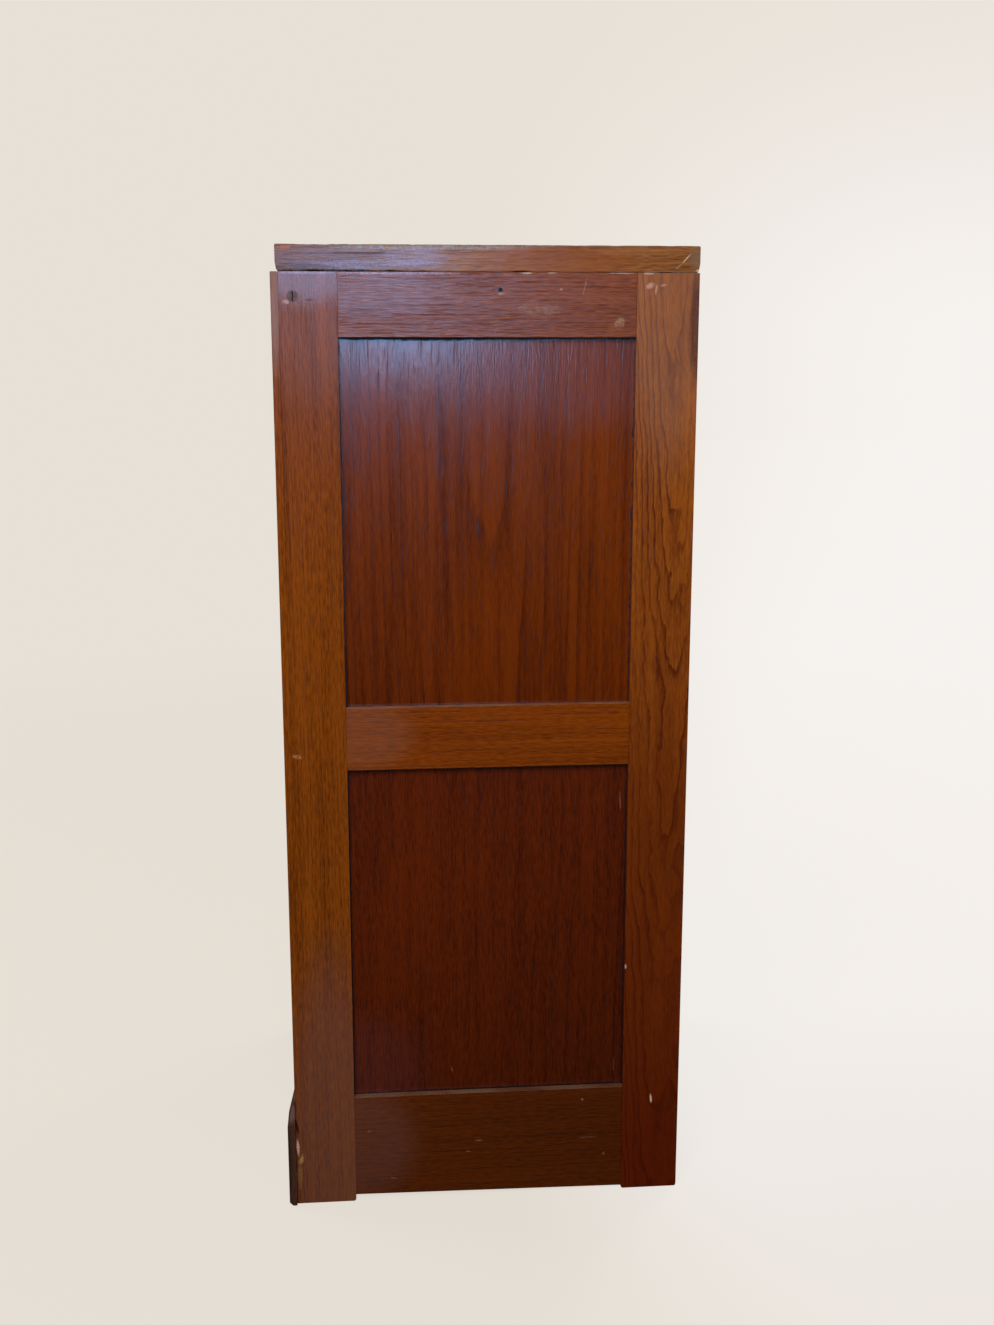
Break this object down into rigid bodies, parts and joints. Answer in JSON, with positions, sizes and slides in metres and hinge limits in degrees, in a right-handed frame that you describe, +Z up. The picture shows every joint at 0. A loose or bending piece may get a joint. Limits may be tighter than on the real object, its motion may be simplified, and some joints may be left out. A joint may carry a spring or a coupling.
{
  "type": "tambour cabinet",
  "caption": "Narrow free-standing wooden cabinet with frame-and-panel sides, a lifting tambour shutter in front, plinth blocks at the foot and shelves inside.",
  "frame": {"origin": "centre of the bounding box on the floor", "axes": "+Z up, -Y out of the shutter's front, +X to the pictured right side"},
  "size_m": [0.463, 0.441, 1.0465],
  "materials": {
    "stile_wood": "red-brown stain under semi-gloss lacquer",
    "rail_wood": "red-brown stain under semi-gloss lacquer",
    "panel_wood": "dark red-brown stain under gloss lacquer",
    "top_wood": "red-brown stain, worn edges",
    "plinth_wood": "dark brown stain, chipped",
    "shutter_wood": "red-brown stain under semi-gloss lacquer",
    "inner_wood": "bare pale wood",
    "canvas": "plain woven",
    "screw_steel": "dulled and browned"
  },
  "bodies": {
    "carcass": {"back_bend_blocks": "inner_wood", "back_bottom_rail": "rail_wood", "back_lower_panel": "panel_wood", "back_mid_rail": "rail_wood", "back_top_rail": "rail_wood", "back_upper_panel": "panel_wood", "bottom_board": "inner_wood", "false_back": "inner_wood", "floor_cleats": "inner_wood", "front_bend_blocks": "inner_wood", "front_sill": "inner_wood", "head_rail": "rail_wood", "head_rail_screws": "screw_steel", "left_back_stile": "stile_wood", "left_bottom_rail": "rail_wood", "left_front_stile": "stile_wood", "left_guide_strip": "inner_wood", "left_lining_board": "inner_wood", "left_lipping": "stile_wood", "left_lower_panel": "panel_wood", "left_mid_rail": "rail_wood", "left_plinth_block": "plinth_wood", "left_top_rail": "rail_wood", "left_upper_panel": "panel_wood", "plinth_board": "plinth_wood", "right_back_stile": "stile_wood", "right_bottom_rail": "rail_wood", "right_front_stile": "stile_wood", "right_guide_strip": "inner_wood", "right_lining_board": "inner_wood", "right_lipping": "stile_wood", "right_lower_panel": "panel_wood", "right_mid_rail": "rail_wood", "right_plinth_block": "plinth_wood", "right_top_rail": "rail_wood", "right_upper_panel": "panel_wood", "shelf_1": "inner_wood", "shelf_2": "inner_wood", "shelf_3": "inner_wood", "shelf_cleats": "inner_wood", "soffit": "inner_wood", "top_board": "top_wood", "top_dowels": "inner_wood"},
    "lift": {"lift_rail": "shutter_wood", "lift_pull": "shutter_wood", "pull_screws": "screw_steel", "shutter_canvas": "canvas"},
    "shutter_strip_01": {"shutter_strip_01": "shutter_wood"},
    "shutter_strip_02": {"shutter_strip_02": "shutter_wood"},
    "shutter_strip_03": {"shutter_strip_03": "shutter_wood"},
    "shutter_strip_04": {"shutter_strip_04": "shutter_wood"},
    "shutter_strip_05": {"shutter_strip_05": "shutter_wood"},
    "shutter_strip_06": {"shutter_strip_06": "shutter_wood"},
    "shutter_strip_07": {"shutter_strip_07": "shutter_wood"},
    "shutter_strip_08": {"shutter_strip_08": "shutter_wood"},
    "shutter_strip_09": {"shutter_strip_09": "shutter_wood"},
    "shutter_strip_10": {"shutter_strip_10": "shutter_wood"},
    "shutter_strip_11": {"shutter_strip_11": "shutter_wood"},
    "shutter_strip_12": {"shutter_strip_12": "shutter_wood"},
    "shutter_strip_13": {"shutter_strip_13": "shutter_wood"}
  },
  "joints": [
    {"name": "shutter_lift", "type": "slide", "parent": "carcass", "child": "lift", "axis": [0, 0, 1], "range_m": [0, 0.755], "deforming": ["shutter_canvas"]},
    {"name": "shutter_strip_01_rise", "type": "slide", "parent": "carcass", "child": "shutter_strip_01", "axis": [0, 0, 1], "range_m": [0, 0.755], "deforming": ["shutter_strip_01"]},
    {"name": "shutter_strip_02_rise", "type": "slide", "parent": "carcass", "child": "shutter_strip_02", "axis": [0, 0, 1], "range_m": [0, 0.69358], "deforming": ["shutter_strip_02"]},
    {"name": "shutter_strip_03_rise", "type": "slide", "parent": "carcass", "child": "shutter_strip_03", "axis": [0, 0, 1], "range_m": [0, 0.63216], "deforming": ["shutter_strip_03"]},
    {"name": "shutter_strip_04_rise", "type": "slide", "parent": "carcass", "child": "shutter_strip_04", "axis": [0, 0, 1], "range_m": [0, 0.57073], "deforming": ["shutter_strip_04"]},
    {"name": "shutter_strip_05_rise", "type": "slide", "parent": "carcass", "child": "shutter_strip_05", "axis": [0, 0, 1], "range_m": [0, 0.50931], "deforming": ["shutter_strip_05"]},
    {"name": "shutter_strip_06_rise", "type": "slide", "parent": "carcass", "child": "shutter_strip_06", "axis": [0, 0, 1], "range_m": [0, 0.44789], "deforming": ["shutter_strip_06"]},
    {"name": "shutter_strip_07_rise", "type": "slide", "parent": "carcass", "child": "shutter_strip_07", "axis": [0, 0, 1], "range_m": [0, 0.38646], "deforming": ["shutter_strip_07"]},
    {"name": "shutter_strip_08_rise", "type": "slide", "parent": "carcass", "child": "shutter_strip_08", "axis": [0, 0, 1], "range_m": [0, 0.32504], "deforming": ["shutter_strip_08"]},
    {"name": "shutter_strip_09_rise", "type": "slide", "parent": "carcass", "child": "shutter_strip_09", "axis": [0, 0, 1], "range_m": [0, 0.26362], "deforming": ["shutter_strip_09"]},
    {"name": "shutter_strip_10_rise", "type": "slide", "parent": "carcass", "child": "shutter_strip_10", "axis": [0, 0, 1], "range_m": [0, 0.20219], "deforming": ["shutter_strip_10"]},
    {"name": "shutter_strip_11_rise", "type": "slide", "parent": "carcass", "child": "shutter_strip_11", "axis": [0, 0, 1], "range_m": [0, 0.14077], "deforming": ["shutter_strip_11"]},
    {"name": "shutter_strip_12_rise", "type": "slide", "parent": "carcass", "child": "shutter_strip_12", "axis": [0, 0, 1], "range_m": [0, 0.07935], "deforming": ["shutter_strip_12"]},
    {"name": "shutter_strip_13_rise", "type": "slide", "parent": "carcass", "child": "shutter_strip_13", "axis": [0, 0, 1], "range_m": [0, 0.01792], "deforming": ["shutter_strip_13"]}
  ],
  "couplings": [
    {"joint": "shutter_strip_01_rise", "follows": "shutter_lift", "ratio": 1},
    {"joint": "shutter_strip_02_rise", "follows": "shutter_lift", "ratio": 0.91865},
    {"joint": "shutter_strip_03_rise", "follows": "shutter_lift", "ratio": 0.83729},
    {"joint": "shutter_strip_04_rise", "follows": "shutter_lift", "ratio": 0.75594},
    {"joint": "shutter_strip_05_rise", "follows": "shutter_lift", "ratio": 0.67458},
    {"joint": "shutter_strip_06_rise", "follows": "shutter_lift", "ratio": 0.59323},
    {"joint": "shutter_strip_07_rise", "follows": "shutter_lift", "ratio": 0.51187},
    {"joint": "shutter_strip_08_rise", "follows": "shutter_lift", "ratio": 0.43051},
    {"joint": "shutter_strip_09_rise", "follows": "shutter_lift", "ratio": 0.34916},
    {"joint": "shutter_strip_10_rise", "follows": "shutter_lift", "ratio": 0.2678},
    {"joint": "shutter_strip_11_rise", "follows": "shutter_lift", "ratio": 0.18645},
    {"joint": "shutter_strip_12_rise", "follows": "shutter_lift", "ratio": 0.10509},
    {"joint": "shutter_strip_13_rise", "follows": "shutter_lift", "ratio": 0.023739}
  ]
}
